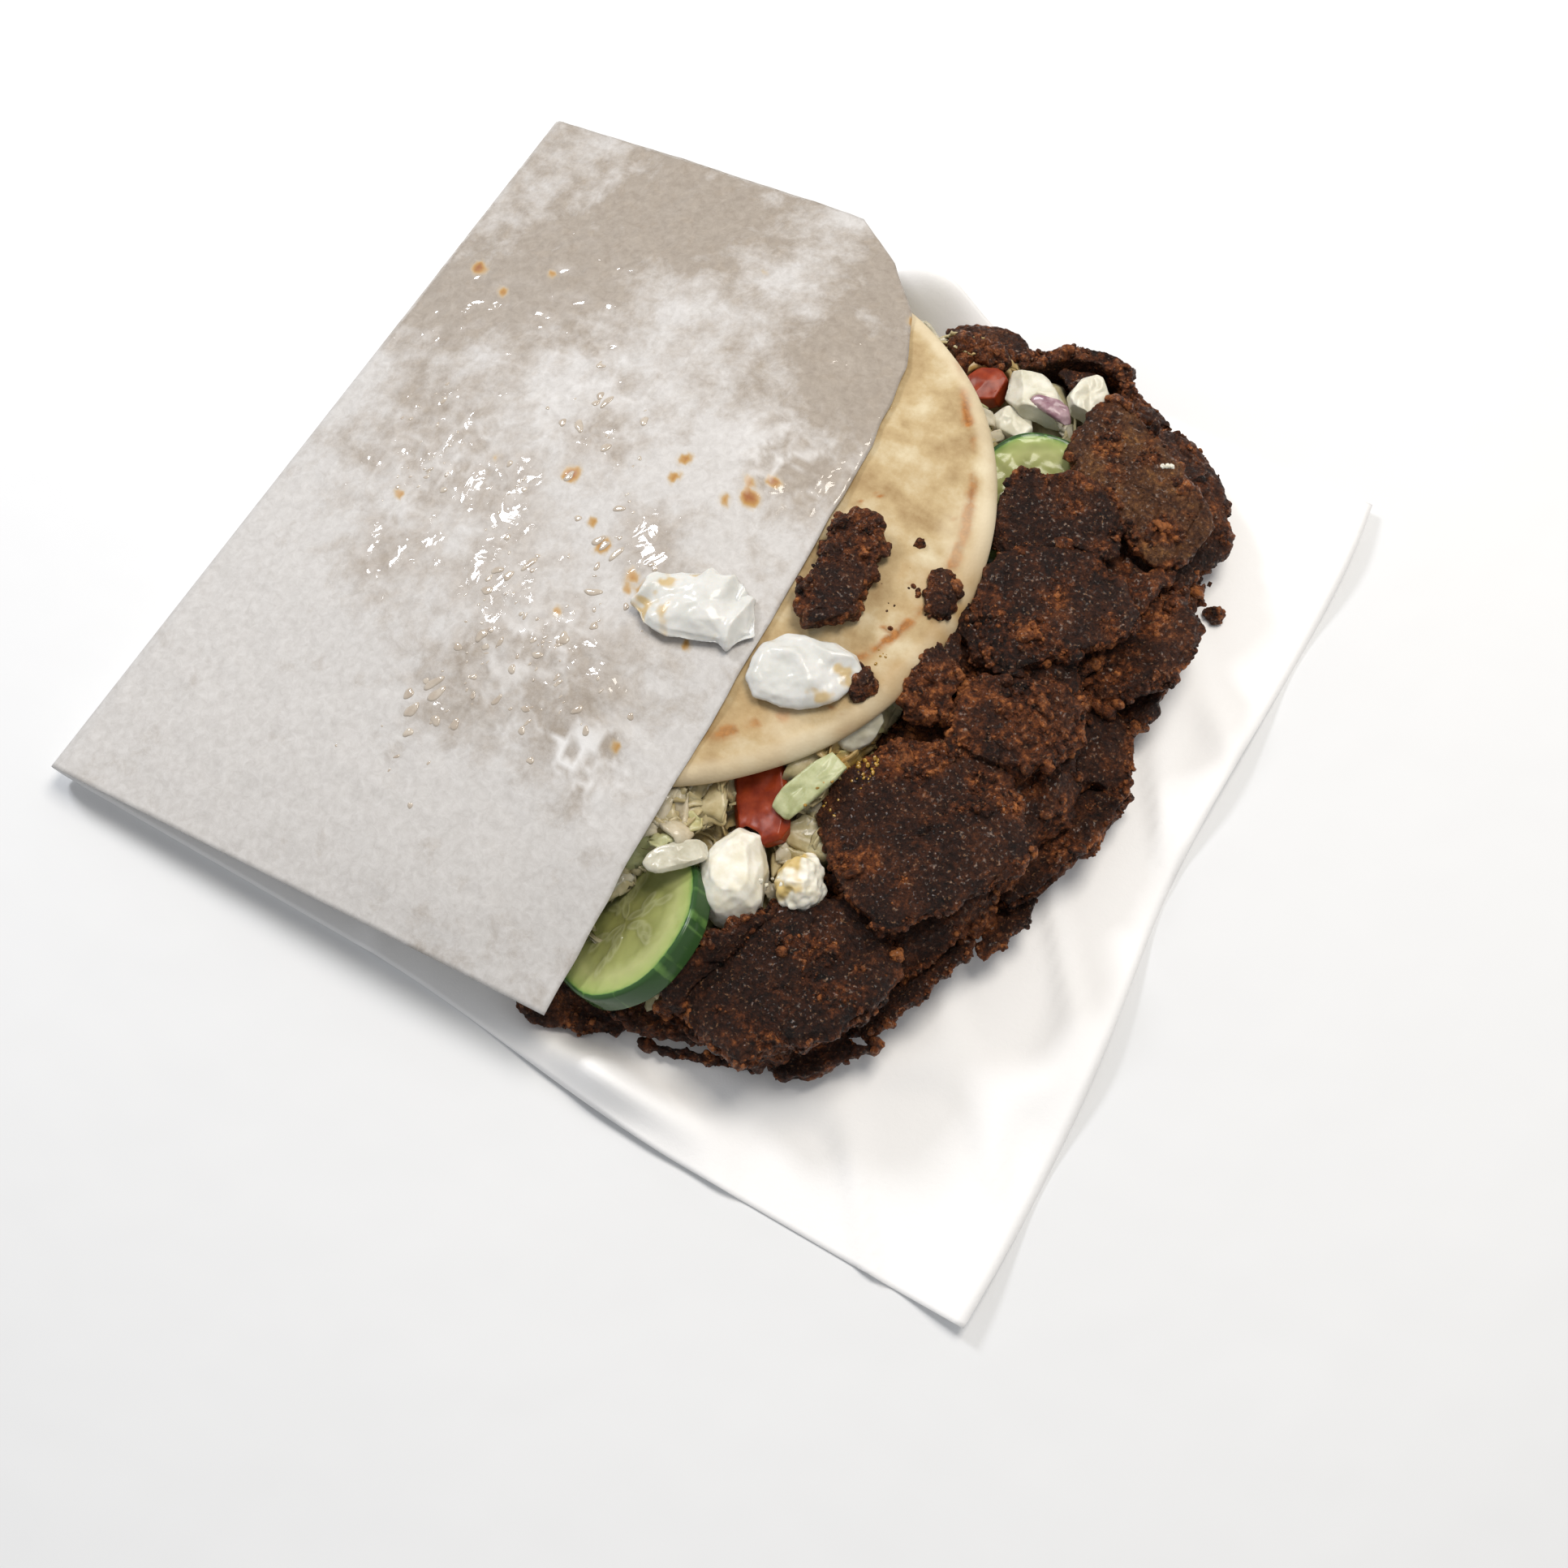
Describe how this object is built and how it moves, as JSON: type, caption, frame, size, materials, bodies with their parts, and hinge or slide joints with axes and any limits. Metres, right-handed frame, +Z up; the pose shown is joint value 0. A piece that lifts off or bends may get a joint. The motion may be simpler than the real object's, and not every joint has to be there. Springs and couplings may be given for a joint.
{
  "type": "gyro",
  "caption": "Folded pita filled with sliced meat, lettuce, cucumber, tomato, onion, crumbled cheese and yoghurt sauce, lying in a folded sheet of deli paper.",
  "frame": {"origin": "middle of the underside of the whole part's bounding box, on the table", "axes": "+Z up; +X across the bread's fold, from the paper's fold towards the mouth of the bread and the spilling meat; +Y along the fold"},
  "size_m": [0.3126, 0.2854, 0.0498],
  "materials": {
    "paper": "matt deli paper with greasy, see-through blotches",
    "bread": "soft baked flatbread with toasted marks",
    "meat": "crusty browned meat slices with a coarse crumb",
    "cucumber": "wet pale green flesh with a dark green skin",
    "tomato": "wet red flesh",
    "lettuce": "pale, moist leaf",
    "greens": "pale green, moist leaf",
    "onion": "wet, half-clear onion",
    "red_onion": "wet, mauve-edged onion",
    "cheese": "crumbly white cheese",
    "sauce": "thick, wet white yoghurt sauce"
  },
  "bodies": {
    "root": {"paper": "paper", "pita": "bread", "tzatziki_on_paper": "sauce", "tzatziki_on_pita": "sauce", "meat_on_pita": "meat", "crumb_1": "meat", "crumb_2": "meat", "crumb_3": "meat", "feta_1": "cheese", "feta_2": "cheese", "lettuce_strip": "greens", "tomato_1": "tomato", "tomato_2": "tomato", "onion_1": "onion", "onion_2": "onion", "red_onion": "red_onion", "lettuce_chunk_1": "lettuce", "lettuce_chunk_2": "lettuce", "lettuce_chunk_3": "lettuce", "cucumber_1": "cucumber", "cucumber_2": "cucumber", "meat_01": "meat", "meat_02": "meat", "meat_03": "meat", "meat_04": "meat", "meat_05": "meat", "meat_06": "meat", "meat_07": "meat", "meat_08": "meat", "meat_09": "meat", "meat_10": "meat", "meat_11": "meat", "meat_12": "meat", "meat_13": "meat", "meat_14": "meat", "meat_15": "meat", "meat_16": "meat", "meat_17": "meat", "meat_18": "meat", "meat_band": "meat", "salad": "lettuce", "meat_bed": "meat"}
  },
  "joints": []
}
